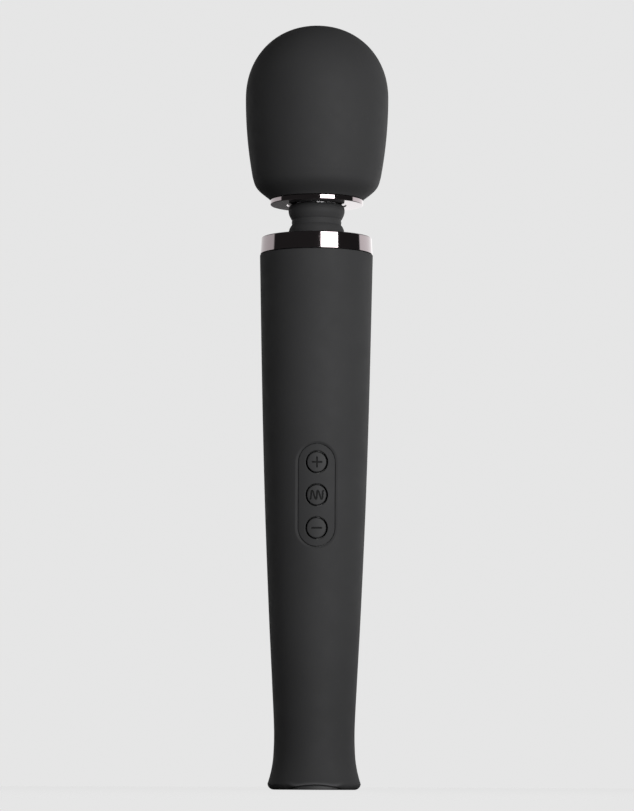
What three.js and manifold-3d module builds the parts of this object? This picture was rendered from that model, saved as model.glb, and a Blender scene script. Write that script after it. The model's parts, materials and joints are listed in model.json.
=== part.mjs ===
// Handheld wand massager: a cordless handle, a ribbed flexible neck and a large soft head.
// Millimetres, +Z up, origin at the centre of the flat base. The controls face -Y.

import * as THREE from "three";
import { mergeVertices } from "three/addons/utils/BufferGeometryUtils.js";
import Module from "manifold-3d";

const wasm = await Module();
wasm.setup();

// ---------------------------------------------------------------- driving dimensions

const GAP = 0.3;

// facets round a full turn
const OUTER_SIDES = 32;
const INNER_SIDES = 20;
const SMALL_SIDES = 12;
const SCREW_SIDES = 8;

// handle: outer radius of the soft skin at a few heights, from the foot flare to the collar
const HANDLE_STATIONS = [
  [2.6, 20.2], [5.2, 19.4], [9, 18.5], [14, 17.8], [25, 17.5], [45, 18.4],
  [75, 19.95], [122, 21.95], [170, 23.4], [233.4, 24.78],
];
const HANDLE_TOP = 233.4;
const SKIN_WALL = 1.2;
const HOUSING_WALL = 2.0;
const HOUSING_CORE_TOP = 226;
const HOUSING_BORE_TOP = 230;
const HOUSING_BOSS_RADIUS = 3.6;
const FOOT_FILLET = 2.6;
const FOOT_FLAT_RADIUS = 17.4;
const FOOT_LIP_RADIUS = 15.5;

// front arch in the foot of the skin
const ARCH_HALF_WIDTH = 13;
const ARCH_HEIGHT = 2.4;
const TONGUE_DEPTH = 0.5;

// collar ring between the handle and the neck
const COLLAR_BOTTOM = 233.7;
const COLLAR_TOP = 241.0;
const COLLAR_BOTTOM_RADIUS = 24.6;
const COLLAR_TOP_RADIUS = 24.2;
const COLLAR_WALL = 1.2;

// neck
const NECK_PIVOT = 248.4;
const NECK_TOP = 255.4;
const NECK_FOOT_RADIUS = 12.3;
const NECK_WAIST = 10.75;
const NECK_INNER_RADIUS = 9.3;
const STUB_RADIUS = 9.0;
const STUB_BORE = 6.0;
const STUB_CLEARANCE = 3.4;

// trim disc under the head
const DISC_RADIUS = 20.4;
const DISC_BOTTOM = 255.5;
const DISC_TOP = 257.7;

// head
const HEAD_RADIUS = 31.4;
const HEAD_EQUATOR = 302.9;
const DOME_HEIGHT = 32.1;
const DOME_POWER = 2.1;
const HEAD_TAPER = 0.00262;
const HEAD_FOOT = 257.9;
const HEAD_FOOT_RADIUS = 20.6;
const HEAD_SHOULDER = 264.3;
const HEAD_SHOULDER_RADIUS = 27.0;
const HEAD_BOSS_RADIUS = 3.4;
const COVER_WALL = 2.8;
const SHELL_GAP = 0.4;
const SHELL_WALL = 2.0;

// control panel on the front of the handle
const PANEL_CENTRE = 126.5;
const PANEL_HALF_WIDTH = 8.45;
const PANEL_HALF_LENGTH = 22.4;
const PANEL_DEPTH = 0.45;
const KEY_PITCH = 14.2;
const KEY_RADIUS = 4.35;
const KEY_HOLE_RADIUS = 4.95;
const KEY_FLANGE_RADIUS = 5.6;
const KEY_RECESS = 0.35;
const ICON_STROKE = 0.55;
const ICON_DEPTH = 0.3;

// electronics
const BOARD_FRONT = 11.0;
const BOARD_THICKNESS = 1.6;
const BOARD_BOTTOM = 98;
const BOARD_TOP = 164;
const SWITCH_SIZE = 6.0;
const SWITCH_HEIGHT = 3.5;
const PLUNGER_RADIUS = 1.7;
const PLUNGER_FRONT = 15.3;
const PLUNGER_BACK = 13.3;

// battery cells, standing one above the other behind the circuit board
const CELL_RADIUS = 9.2;
const CELL_LENGTH = 65;
const CELL_AXIS_Y = 2.5;
const CELL_BOTTOM = 22;
const CELL_STEP = CELL_LENGTH + 0.6;
const TRAY_WALL = 1.5;

// vibration motor in the head
const MOTOR_RADIUS = 13.8;
const MOTOR_BOTTOM = 270.6;
const MOTOR_TOP = 302;
const MOTOR_WALL = 1.5;
const SHAFT_RADIUS = 1.585;
const SHAFT_HOLE = 1.75;
const WEIGHT_RADIUS = 15.5;
const WEIGHT_BOTTOM = 305;
const WEIGHT_TOP = 315;

const LEAD_RADIUS = 0.7;

// screws that hold the shell halves together
const SCREW_HEAD_WELL = 2.7;
const SCREW_CLEARANCE = 1.3;
const SCREW_PILOT = 1.25;
const SCREW_HEAD_Y = -4.3;

// ---------------------------------------------------------------- materials

const standard = (color, roughness, metalness = 0) =>
  new THREE.MeshStandardMaterial({ color, roughness, metalness });

const silicone = standard(0x2b2b2c, 0.6);
const keyRubber = standard(0x262627, 0.55);
const darkChrome = standard(0x4a4446, 0.12, 1);
const blackPlastic = standard(0x1c1c1e, 0.5);
const greyPlastic = standard(0x54565a, 0.6);
const steel = standard(0xa9abae, 0.3, 1);
const zincSteel = standard(0x8d9095, 0.35, 1);
const aluminium = standard(0xb9bcc0, 0.35, 1);
const brass = standard(0xb08d4f, 0.3, 1);
const ferrite = standard(0x303033, 0.7);
const boardGreen = standard(0x1f5a3a, 0.5);
const cellWrap = standard(0x3d78a8, 0.4);
const dampingRubber = standard(0x18181a, 0.8);
const redWire = standard(0xa82a22, 0.5);
const blackWire = standard(0x161616, 0.5);

// ---------------------------------------------------------------- solid helpers

function toSolid(geometry) {
  const bare = geometry.clone();
  bare.deleteAttribute("normal");
  bare.deleteAttribute("uv");
  const merged = mergeVertices(bare, 1e-4);
  return new wasm.Manifold(new wasm.Mesh({
    numProp: 3,
    vertProperties: new Float32Array(merged.attributes.position.array),
    triVerts: new Uint32Array(merged.index.array),
  }));
}

function toGeometry(solid) {
  const mesh = solid.getMesh();
  const geometry = new THREE.BufferGeometry();
  geometry.setAttribute("position", new THREE.BufferAttribute(mesh.vertProperties, 3));
  geometry.setIndex(new THREE.BufferAttribute(mesh.triVerts, 1));
  geometry.computeVertexNormals();
  return geometry;
}

const joined = (solids) => solids.reduce((whole, next) => whole.add(next));
const cutBy = (solid, cutters) => cutters.reduce((left, cutter) => left.subtract(cutter), solid);

// outline: [radius, height] pairs, up the outside and down the inside
function spin(outline, sides) {
  const points = outline.map(([radius, height]) => new THREE.Vector2(radius, height));
  const onAxis = outline[0][0] === 0 && outline.at(-1)[0] === 0;
  if (!onAxis) points.push(points[0].clone());
  return new THREE.LatheGeometry(points, sides).rotateX(Math.PI / 2);
}

const rod = (radius, from, to, sides = INNER_SIDES) =>
  new THREE.CylinderGeometry(radius, radius, to - from, sides)
    .rotateX(Math.PI / 2).translate(0, 0, (from + to) / 2);

const pipe = (inner, outer, from, to, sides = INNER_SIDES) =>
  spin([[inner, from], [outer, from], [outer, to], [inner, to]], sides);

// a cylinder along Y, from one y to another
const crossRod = (radius, x, z, fromY, toY, sides = SMALL_SIDES) =>
  new THREE.CylinderGeometry(radius, radius, toY - fromY, sides)
    .translate(x, (fromY + toY) / 2, z);

function box([x0, y0, z0], [x1, y1, z1]) {
  return new THREE.BoxGeometry(x1 - x0, y1 - y0, z1 - z0)
    .translate((x0 + x1) / 2, (y0 + y1) / 2, (z0 + z1) / 2);
}

// turns a shape drawn facing +Z, with +Y up, so that it faces -Y with +Z up
const facingFront = (geometry) => geometry.rotateX(Math.PI / 2);

function wire(points, radius = LEAD_RADIUS, steps = 14) {
  const path = new THREE.CatmullRomCurve3(points.map((p) => new THREE.Vector3(...p)));
  const section = new THREE.Shape().absarc(0, 0, radius, 0, 2 * Math.PI);
  return new THREE.ExtrudeGeometry(section, {
    steps, curveSegments: 3, bevelEnabled: false, extrudePath: path,
  });
}

// ---------------------------------------------------------------- handle outline

// smooth curve through the stations, as a radius for any height
function handleRadius(z) {
  const s = HANDLE_STATIONS;
  const last = s.length - 1;
  if (z <= s[0][0]) return s[0][1];
  if (z >= s[last][0]) return s[last][1];
  const i = s.findIndex(([height]) => height > z) - 1;
  const slope = (k) => {
    const below = s[Math.max(k - 1, 0)];
    const above = s[Math.min(k + 1, last)];
    return (above[1] - below[1]) / (above[0] - below[0]);
  };
  const span = s[i + 1][0] - s[i][0];
  const t = (z - s[i][0]) / span;
  const rise = t * t * (3 - 2 * t);
  return s[i][1] * (1 - rise) + s[i + 1][1] * rise
    + span * (slope(i) * t * (1 - t) ** 2 - slope(i + 1) * t * t * (1 - t));
}

const HANDLE_HEIGHTS = HANDLE_STATIONS.map(([z]) => z);

// the side of the handle at a depth under the skin's surface, between two heights, going up
function handleSide(depth, from, to) {
  const between = HANDLE_HEIGHTS.filter((z) => z > from && z < to);
  return [from, ...between, to].map((z) => [handleRadius(z) - depth, z]);
}

// the arch is a wide cylinder along Y that dips below the base
const ARCH_RADIUS = (ARCH_HALF_WIDTH ** 2 + ARCH_HEIGHT ** 2) / (2 * ARCH_HEIGHT);
const arch = (grow) =>
  toSolid(crossRod(ARCH_RADIUS + grow, 0, ARCH_HEIGHT - ARCH_RADIUS, -30, -8, 96));

// ---------------------------------------------------------------- control panel outline

function stadium(halfWidth, halfLength, depth) {
  const straight = halfLength - halfWidth;
  const shape = new THREE.Shape();
  shape.absarc(0, straight, halfWidth, 0, Math.PI);
  shape.absarc(0, -straight, halfWidth, Math.PI, 2 * Math.PI);
  shape.closePath();
  return facingFront(new THREE.ExtrudeGeometry(shape, {
    depth, curveSegments: 10, bevelEnabled: false,
  })).translate(0, -10, PANEL_CENTRE);
}

const keys = [
  { name: "plus", z: PANEL_CENTRE + KEY_PITCH },
  { name: "pattern", z: PANEL_CENTRE },
  { name: "minus", z: PANEL_CENTRE - KEY_PITCH },
];

// ---------------------------------------------------------------- handle pieces

function handleSkin() {
  const foot = [];
  for (const turn of [0, 30, 60]) {
    const a = THREE.MathUtils.degToRad(turn);
    foot.push([
      FOOT_FLAT_RADIUS + (handleRadius(0) - FOOT_FLAT_RADIUS) * Math.sin(a),
      FOOT_FILLET * (1 - Math.cos(a)),
    ]);
  }
  const outline = [
    [FOOT_LIP_RADIUS, 0],
    ...foot,
    ...handleSide(0, FOOT_FILLET, HANDLE_TOP),
    ...handleSide(SKIN_WALL, FOOT_FILLET, HANDLE_TOP).reverse(),
    [handleRadius(0) - SKIN_WALL, SKIN_WALL],
    [FOOT_LIP_RADIUS, SKIN_WALL],
  ];
  const window = toSolid(stadium(PANEL_HALF_WIDTH, PANEL_HALF_LENGTH, 20));
  return toGeometry(cutBy(toSolid(spin(outline, OUTER_SIDES)), [window, arch(0)]));
}

function controlPad() {
  const low = PANEL_CENTRE - PANEL_HALF_LENGTH - 5;
  const high = PANEL_CENTRE + PANEL_HALF_LENGTH + 5;
  const sheet = toSolid(spin([
    ...handleSide(PANEL_DEPTH, low, high),
    ...handleSide(SKIN_WALL, low, high).reverse(),
  ], OUTER_SIDES));
  const plate = toSolid(stadium(PANEL_HALF_WIDTH - GAP, PANEL_HALF_LENGTH - GAP, 20));
  const holes = keys.map(({ z }) => toSolid(crossRod(KEY_HOLE_RADIUS, 0, z, -30, -10, INNER_SIDES)));
  return toGeometry(cutBy(sheet.intersect(plate), holes));
}

const HOUSING_OUT = SKIN_WALL + GAP;
const HOUSING_IN = HOUSING_OUT + HOUSING_WALL;
const HOUSING_FOOT = 1.5;
const SPIGOT_RADIUS = COLLAR_TOP_RADIUS - COLLAR_WALL - GAP;
const DECK_BOTTOM = 235.3;
const DECK_TOP = 237.3;
const HOUSING_SCREWS = [[-14.5, 178], [14.5, 178], [-14.5, 218], [14.5, 218]];

// one half of a two-part shell, joined by screws along Y
function clamshell(side, { shell, core, bossRadius, screws, cutters }) {
  const bosses = screws.map(([x, z]) =>
    toSolid(crossRod(bossRadius, x, z, -40, 40, SCREW_SIDES)));
  const halfSpace = toSolid(side < 0
    ? box([-60, -60, 0], [60, -GAP / 2, 360])
    : box([-60, GAP / 2, 0], [60, 60, 360]));
  const holes = screws.flatMap(([x, z]) => (side < 0
    ? [
      crossRod(SCREW_HEAD_WELL, x, z, -40, SCREW_HEAD_Y + 0.1, SCREW_SIDES),
      crossRod(SCREW_CLEARANCE, x, z, -5, 1, SCREW_SIDES),
    ]
    : [crossRod(SCREW_PILOT, x, z, -1, 7, SCREW_SIDES)]).map(toSolid));
  const whole = joined([shell, joined(bosses).intersect(core)]).intersect(halfSpace);
  return toGeometry(cutBy(whole, [...holes, ...cutters]));
}

function housing(side) {
  const shell = toSolid(spin([
    ...handleSide(HOUSING_OUT, HOUSING_FOOT, HANDLE_TOP - 0.6),
    [SPIGOT_RADIUS, HANDLE_TOP - 0.6],
    [SPIGOT_RADIUS, DECK_TOP],
    [STUB_RADIUS + GAP, DECK_TOP],
    [STUB_RADIUS + GAP, DECK_BOTTOM],
    [handleRadius(HOUSING_BORE_TOP) - HOUSING_IN, DECK_BOTTOM],
    ...handleSide(HOUSING_IN, HOUSING_FOOT, HOUSING_BORE_TOP).reverse(),
  ], INNER_SIDES));
  const coreFoot = HOUSING_SCREWS[0][1] - 8;
  const core = toSolid(spin([
    [0, coreFoot], [handleRadius(coreFoot) - HOUSING_OUT - 0.4, coreFoot],
    [handleRadius(HOUSING_CORE_TOP) - HOUSING_OUT - 0.6, HOUSING_CORE_TOP], [0, HOUSING_CORE_TOP],
  ], INNER_SIDES));
  const keyHoles = keys.map(({ z }) =>
    toSolid(crossRod(KEY_RADIUS + 0.4, 0, z, -40, -5, 16)));
  return clamshell(side, {
    shell,
    core,
    bossRadius: HOUSING_BOSS_RADIUS,
    screws: HOUSING_SCREWS,
    cutters: side < 0 ? [...keyHoles, arch(0.5)] : [],
  });
}

function baseCap() {
  const cap = toSolid(spin([
    [4.9, 0], [15.2, 0], [15.2, 3], [13.6, 3], [13.6, 8], [12.2, 8], [12.2, 3], [4.9, 3],
  ], INNER_SIDES));
  const tongue = toSolid(rod(handleRadius(0) - TONGUE_DEPTH, 0, 4, OUTER_SIDES))
    .intersect(arch(-GAP))
    .intersect(toSolid(box([-20, -25, 0], [20, -12, 4])));
  return toGeometry(cap.add(tongue));
}

function collarRing() {
  const rim = 0.5;
  return spin([
    [COLLAR_BOTTOM_RADIUS - COLLAR_WALL, COLLAR_BOTTOM],
    [COLLAR_BOTTOM_RADIUS, COLLAR_BOTTOM],
    [COLLAR_TOP_RADIUS, COLLAR_TOP - rim],
    [COLLAR_TOP_RADIUS - rim, COLLAR_TOP],
    [NECK_FOOT_RADIUS + GAP, COLLAR_TOP],
    [NECK_FOOT_RADIUS + GAP, COLLAR_TOP - 1.5],
    [COLLAR_TOP_RADIUS - COLLAR_WALL, COLLAR_TOP - 1.5],
  ], OUTER_SIDES);
}

function screw() {
  return spin([
    [0, -10.4], [1.1, -10], [1.1, 0], [2.4, 0], [2.4, 1.2], [1.6, 1.6], [0, 1.6],
  ], SCREW_SIDES);
}

// ---------------------------------------------------------------- neck pieces

function neckSleeve() {
  return spin([
    [NECK_INNER_RADIUS, DECK_TOP + GAP],
    [NECK_FOOT_RADIUS, DECK_TOP + GAP],
    [NECK_FOOT_RADIUS, 243.2],
    [NECK_FOOT_RADIUS - 0.15, 244.7],
    [NECK_WAIST + 0.85, 246.3],
    [NECK_WAIST + 0.25, 247.4],
    [NECK_WAIST, NECK_PIVOT - 0.2],
    [NECK_WAIST + 0.25, 249.1],
    [NECK_WAIST + 0.8, 250.1],
    [NECK_FOOT_RADIUS - 0.2, 251.5],
    [NECK_FOOT_RADIUS, 253],
    [NECK_FOOT_RADIUS - 0.2, 254.4],
    [NECK_FOOT_RADIUS - 0.5, NECK_TOP],
    [NECK_INNER_RADIUS, NECK_TOP],
  ], OUTER_SIDES);
}

function lowerFitting() {
  return spin([
    [STUB_BORE, DECK_BOTTOM - 2.3], [15, DECK_BOTTOM - 2.3], [15, DECK_BOTTOM - 0.2],
    [STUB_RADIUS, DECK_BOTTOM - 0.2], [STUB_RADIUS, NECK_PIVOT - STUB_CLEARANCE],
    [STUB_BORE, NECK_PIVOT - STUB_CLEARANCE],
  ], INNER_SIDES);
}

const SHELL_FLOOR_TOP = 263.4;

function upperFitting() {
  return spin([
    [STUB_BORE, NECK_PIVOT + STUB_CLEARANCE], [STUB_RADIUS, NECK_PIVOT + STUB_CLEARANCE],
    [STUB_RADIUS, SHELL_FLOOR_TOP + 0.2], [14, SHELL_FLOOR_TOP + 0.2],
    [14, SHELL_FLOOR_TOP + 2], [STUB_BORE, SHELL_FLOOR_TOP + 2],
  ], INNER_SIDES);
}

class Helix extends THREE.Curve {
  constructor(radius, pitch, turns) {
    super();
    Object.assign(this, { radius, pitch, turns });
  }

  getPoint(t, target = new THREE.Vector3()) {
    const a = 2 * Math.PI * this.turns * t;
    const height = this.pitch * this.turns * (t - 0.5);
    return target.set(this.radius * Math.cos(a), this.radius * Math.sin(a), height);
  }
}

function neckSpring() {
  const section = new THREE.Shape().absarc(0, 0, 0.6, 0, 2 * Math.PI);
  return new THREE.ExtrudeGeometry(section, {
    steps: 30, curveSegments: 3, bevelEnabled: false, extrudePath: new Helix(7.5, 2.0, 2.4),
  });
}

// ---------------------------------------------------------------- head pieces

const headSideRadius = (z) => HEAD_RADIUS - HEAD_TAPER * (HEAD_EQUATOR - z) ** 2;

// from the shoulder to the apex, going up, at a depth under the cover's surface
function headSide(depth, apexRadius = 0) {
  const points = [
    [HEAD_SHOULDER_RADIUS - depth, HEAD_SHOULDER + depth * 0.4],
    [headSideRadius(268) - depth, 268 + depth * 0.3],
    [headSideRadius(277) - depth, 277],
    [headSideRadius(288) - depth, 288],
  ];
  for (const degrees of [0, 18, 34, 49, 63, 77]) {
    const a = THREE.MathUtils.degToRad(degrees);
    points.push([
      (HEAD_RADIUS - depth) * Math.cos(a) ** (2 / DOME_POWER),
      HEAD_EQUATOR + (DOME_HEIGHT - depth) * Math.sin(a) ** (2 / DOME_POWER),
    ]);
  }
  points.push([apexRadius, HEAD_EQUATOR + DOME_HEIGHT - depth]);
  return points;
}

const COVER_LIP_RADIUS = 17;
const COVER_LIP_TOP = HEAD_FOOT + 2.2;

function headCover() {
  return spin([
    [0, HEAD_EQUATOR + DOME_HEIGHT - COVER_WALL],
    ...headSide(COVER_WALL).slice(0, -1).reverse(),
    [18.9, COVER_LIP_TOP],
    [COVER_LIP_RADIUS, COVER_LIP_TOP],
    [COVER_LIP_RADIUS, HEAD_FOOT],
    [HEAD_FOOT_RADIUS, HEAD_FOOT],
    [HEAD_SHOULDER_RADIUS - 1, HEAD_SHOULDER - 1.4],
    ...headSide(0),
  ], OUTER_SIDES);
}

const SHELL_OUT = COVER_WALL + SHELL_GAP;
const SHELL_IN = SHELL_OUT + SHELL_WALL;
const HEAD_SCREWS = [[-21.5, 285], [21.5, 285], [-20.5, 309], [20.5, 309]];
const MOUNT_RADIUS = 16.3;

function headShell(side) {
  const shell = toSolid(spin([
    [0, HEAD_EQUATOR + DOME_HEIGHT - SHELL_IN],
    ...headSide(SHELL_IN).slice(1, -1).reverse(),
    [18.5, SHELL_FLOOR_TOP],
    [STUB_RADIUS + GAP, SHELL_FLOOR_TOP],
    [STUB_RADIUS + GAP, HEAD_FOOT + 0.2],
    [COVER_LIP_RADIUS - GAP, HEAD_FOOT + 0.2],
    [COVER_LIP_RADIUS - GAP, COVER_LIP_TOP + SHELL_GAP],
    [18.7, COVER_LIP_TOP + SHELL_GAP],
    ...headSide(SHELL_OUT),
  ], INNER_SIDES));
  const rib = (z) => toSolid(pipe(MOUNT_RADIUS + GAP, headSideRadius(z) - SHELL_IN + 0.8, z, z + 2.5));
  const core = toSolid(rod(27, 270, 312)).subtract(toSolid(rod(MOUNT_RADIUS + GAP, 260, 320)));
  return clamshell(side, {
    shell: joined([shell, rib(277), rib(291)]),
    core: core.intersect(toSolid(spin([[0, 262], ...headSide(SHELL_OUT + 0.5)], INNER_SIDES))),
    bossRadius: HEAD_BOSS_RADIUS,
    screws: HEAD_SCREWS,
    cutters: [],
  });
}

function trimDisc() {
  return spin([
    [STUB_RADIUS + GAP, DISC_BOTTOM],
    [DISC_RADIUS - 0.4, DISC_BOTTOM],
    [DISC_RADIUS, DISC_BOTTOM + 0.4],
    [DISC_RADIUS, DISC_TOP],
    [STUB_RADIUS + GAP, DISC_TOP],
  ], OUTER_SIDES);
}

// ---------------------------------------------------------------- motor pieces

function motorCan() {
  return spin([
    [MOTOR_RADIUS - MOTOR_WALL, MOTOR_BOTTOM], [MOTOR_RADIUS, MOTOR_BOTTOM],
    [MOTOR_RADIUS, MOTOR_TOP], [4, MOTOR_TOP], [4, MOTOR_TOP + 1.4],
    [SHAFT_HOLE, MOTOR_TOP + 1.4], [SHAFT_HOLE, MOTOR_TOP - MOTOR_WALL],
    [MOTOR_RADIUS - MOTOR_WALL, MOTOR_TOP - MOTOR_WALL],
  ], INNER_SIDES);
}

function motorEndCap() {
  return spin([
    [SHAFT_HOLE, MOTOR_BOTTOM - 3.4], [MOTOR_RADIUS, MOTOR_BOTTOM - 3.4],
    [MOTOR_RADIUS, MOTOR_BOTTOM - 0.1], [SHAFT_HOLE, MOTOR_BOTTOM - 0.1],
  ], INNER_SIDES);
}

function magnet() {
  const half = THREE.MathUtils.degToRad(62);
  const shape = new THREE.Shape();
  shape.absarc(0, 0, MOTOR_RADIUS - MOTOR_WALL - GAP, -half, half);
  shape.absarc(0, 0, 9.1, half, -half, true);
  shape.closePath();
  return new THREE.ExtrudeGeometry(shape, {
    depth: 20, curveSegments: 8, bevelEnabled: false,
  }).translate(0, 0, 275);
}

// a steel core with four winding slots
function armature() {
  const core = toSolid(pipe(SHAFT_RADIUS + 0.05, 8.4, 276, 294));
  const slots = [0, 90, 180, 270].map((degrees) => toSolid(
    box([4.2, -1.3, 275], [9, 1.3, 295]).rotateZ(THREE.MathUtils.degToRad(degrees + 45))));
  return toGeometry(cutBy(core, slots));
}

function eccentricWeight() {
  const disc = toSolid(rod(WEIGHT_RADIUS, WEIGHT_BOTTOM, WEIGHT_TOP));
  const half = toSolid(box([-20, -20, 300], [20, 0, 320]));
  const hub = toSolid(rod(4.6, WEIGHT_BOTTOM, WEIGHT_TOP));
  const bore = toSolid(rod(SHAFT_RADIUS + 0.05, 300, 320));
  return toGeometry(disc.intersect(half).add(hub).subtract(bore));
}

// ---------------------------------------------------------------- control pieces

// short strokes that draw each key's symbol, as [from, to] points on the key's face
const iconStrokes = {
  plus: [[[-2.15, 0], [2.15, 0]], [[0, -2.15], [0, 2.15]]],
  minus: [[[-2.15, 0], [2.15, 0]]],
  pattern: [0, 1, 2, 3, 4].map((i) => {
    const x = -2.75 + 1.1 * i;
    const end = i % 2 ? -1 : 1;
    return [[x, -1.5 * end], [x + 1.1, 1.5 * end]];
  }),
};

function stroke([x0, y0], [x1, y1], face) {
  const length = Math.hypot(x1 - x0, y1 - y0) + ICON_STROKE;
  const bar = new THREE.BoxGeometry(length, ICON_STROKE, 2 * ICON_DEPTH)
    .rotateZ(Math.atan2(y1 - y0, x1 - x0))
    .translate((x0 + x1) / 2, (y0 + y1) / 2, face);
  return toSolid(bar);
}

// drawn round +Z with z as the distance from the handle's axis
function key(name, z) {
  const face = handleRadius(z) - KEY_RECESS;
  const flangeFront = Math.sqrt((handleRadius(z) - HOUSING_IN) ** 2 - KEY_FLANGE_RADIUS ** 2) - 0.6;
  const body = toSolid(spin([
    [0, PLUNGER_FRONT + 0.1], [1.6, PLUNGER_FRONT + 0.1], [1.6, flangeFront - 0.8],
    [KEY_FLANGE_RADIUS, flangeFront - 0.8], [KEY_FLANGE_RADIUS, flangeFront],
    [KEY_RADIUS, flangeFront], [KEY_RADIUS, face - 0.3], [KEY_RADIUS - 0.3, face], [0, face],
  ], INNER_SIDES));
  const icon = iconStrokes[name].map(([from, to]) => stroke(from, to, face));
  return facingFront(toGeometry(cutBy(body, icon))).translate(0, 0, z);
}

function switchCase() {
  const half = SWITCH_SIZE / 2;
  const back = BOARD_FRONT + 0.05;
  const body = toSolid(box([-half, -half, back], [half, half, back + SWITCH_HEIGHT]));
  const well = toSolid(rod(PLUNGER_RADIUS + 0.2, PLUNGER_BACK - 0.9, 20, SMALL_SIDES));
  return facingFront(toGeometry(body.subtract(well)));
}

// ---------------------------------------------------------------- power pieces

function cell() {
  return spin([
    [0, 0], [CELL_RADIUS, 0], [CELL_RADIUS, CELL_LENGTH - 1],
    [2.8, CELL_LENGTH - 1], [2.8, CELL_LENGTH], [0, CELL_LENGTH],
  ], INNER_SIDES);
}

function batteryTray() {
  const outer = CELL_RADIUS + GAP + TRAY_WALL;
  const inner = CELL_RADIUS + GAP;
  const top = CELL_BOTTOM + 2 * CELL_STEP + 5;
  const trough = toSolid(pipe(inner, outer, CELL_BOTTOM - 2, top).translate(0, CELL_AXIS_Y, 0))
    .intersect(toSolid(box([-20, CELL_AXIS_Y, 0], [20, 20, 200])));
  const plate = (z) => toSolid(box([-9, -1, z], [9, 10.5, z + 1.5]));
  const rail = (side, z) => toSolid(side < 0
    ? box([-outer + 0.1, -BOARD_FRONT + BOARD_THICKNESS + 0.1, z], [-inner, CELL_AXIS_Y + 0.5, z + 5])
    : box([inner, -BOARD_FRONT + BOARD_THICKNESS + 0.1, z], [outer - 0.1, CELL_AXIS_Y + 0.5, z + 5]));
  return toGeometry(joined([
    trough, plate(CELL_BOTTOM - 2), plate(top - 1.5),
    ...[-1, 1].flatMap((side) => [rail(side, 101), rail(side, 150)]),
  ]));
}

function chargeJack() {
  return spin([
    [1.8, 0.8], [4.6, 0.8], [4.6, 3.2], [6.5, 3.2], [6.5, 4.8], [4.6, 4.8],
    [4.6, 14], [0.75, 14], [0.75, 11], [1.8, 11],
  ], INNER_SIDES);
}

// ---------------------------------------------------------------- assembly

const wand = new THREE.Group();
const handle = new THREE.Group();
const head = new THREE.Group();
const rotor = new THREE.Group();
head.add(rotor);
wand.add(handle, head);

function place(group, name, geometry, material, position = [0, 0, 0]) {
  const mesh = new THREE.Mesh(geometry, material);
  mesh.name = name;
  mesh.position.set(...position);
  group.add(mesh);
  return mesh;
}

// handle
place(handle, "handle_skin", handleSkin(), silicone);
place(handle, "housing_front", housing(-1), blackPlastic);
place(handle, "housing_rear", housing(1), blackPlastic);
place(handle, "base_cap", baseCap(), blackPlastic);
place(handle, "collar_ring", collarRing(), darkChrome);
place(handle, "control_pad", controlPad(), silicone);

for (const { name, z } of keys) {
  place(handle, `${name}_key`, key(name, z), keyRubber);
  place(handle, `${name}_switch`, switchCase(), blackPlastic, [0, 0, z]);
  const plunger = facingFront(rod(PLUNGER_RADIUS, PLUNGER_BACK, PLUNGER_FRONT, SMALL_SIDES));
  place(handle, `${name}_plunger`, plunger, greyPlastic, [0, 0, z]);
}

const boardBack = -BOARD_FRONT + BOARD_THICKNESS;
place(handle, "circuit_board",
  box([-10, -BOARD_FRONT, BOARD_BOTTOM], [10, boardBack, BOARD_TOP]), boardGreen);
place(handle, "control_chip", box([-3.5, boardBack + 0.05, 118], [3.5, boardBack + 1.1, 125]),
  blackPlastic);
place(handle, "battery_connector", box([-8, boardBack + 0.05, 156], [-1, -5.8, 162]), greyPlastic);
place(handle, "motor_connector", box([1, boardBack + 0.05, 156], [8, -5.8, 162]), greyPlastic);

place(handle, "battery_tray", batteryTray(), greyPlastic);
place(handle, "cell_lower", cell(), cellWrap, [0, CELL_AXIS_Y, CELL_BOTTOM]);
place(handle, "cell_upper", cell(), cellWrap, [0, CELL_AXIS_Y, CELL_BOTTOM + CELL_STEP]);
const cellLinks = { cell_link_bottom: 0, cell_link_top: 2 };
for (const [name, count] of Object.entries(cellLinks)) {
  const level = CELL_BOTTOM + count * CELL_STEP - 0.45;
  place(handle, name, box([-4, -8, 0], [4, 4, 0.3]), steel, [0, CELL_AXIS_Y, level]);
}

place(handle, "charge_jack", chargeJack(), blackPlastic);
place(handle, "jack_pin", rod(0.6, 2.5, 15.5, SCREW_SIDES), brass);

HOUSING_SCREWS.forEach(([x, z], i) => {
  place(handle, `housing_screw_${i + 1}`, facingFront(screw()), zincSteel, [x, SCREW_HEAD_Y, z]);
});

// leads in the handle
const connectorFoot = 155.4;
const cellTopLink = CELL_BOTTOM + 2 * CELL_STEP;
place(handle, "battery_lead_red",
  wire([[-3, -4.6, cellTopLink + 0.6], [-3, -6.6, cellTopLink + 1.2], [-3, -7.4, connectorFoot]],
    LEAD_RADIUS, 6), redWire);
place(handle, "battery_lead_black", wire([
  [-3.2, -6.6, CELL_BOTTOM - 1.1], [-7.2, -7.2, CELL_BOTTOM + 2], [-8, -8, CELL_BOTTOM + 14],
  [-8, -8, 90], [-8, -8, 140], [-7.4, -7.8, 150], [-6.2, -7.6, connectorFoot],
]), blackWire);
for (const [name, side, colour] of [["red", 1, redWire], ["black", -1, blackWire]]) {
  place(handle, `charge_lead_${name}`, wire([
    [side * 2.6, -2.2, 14.9], [side * 3.2, -6.5, 16.8], [side * 4.2, -9.8, 22],
    [side * 4.6, -10.2, 60], [side * 4.6, -10.2, 97.2],
  ]), colour);
}

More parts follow.
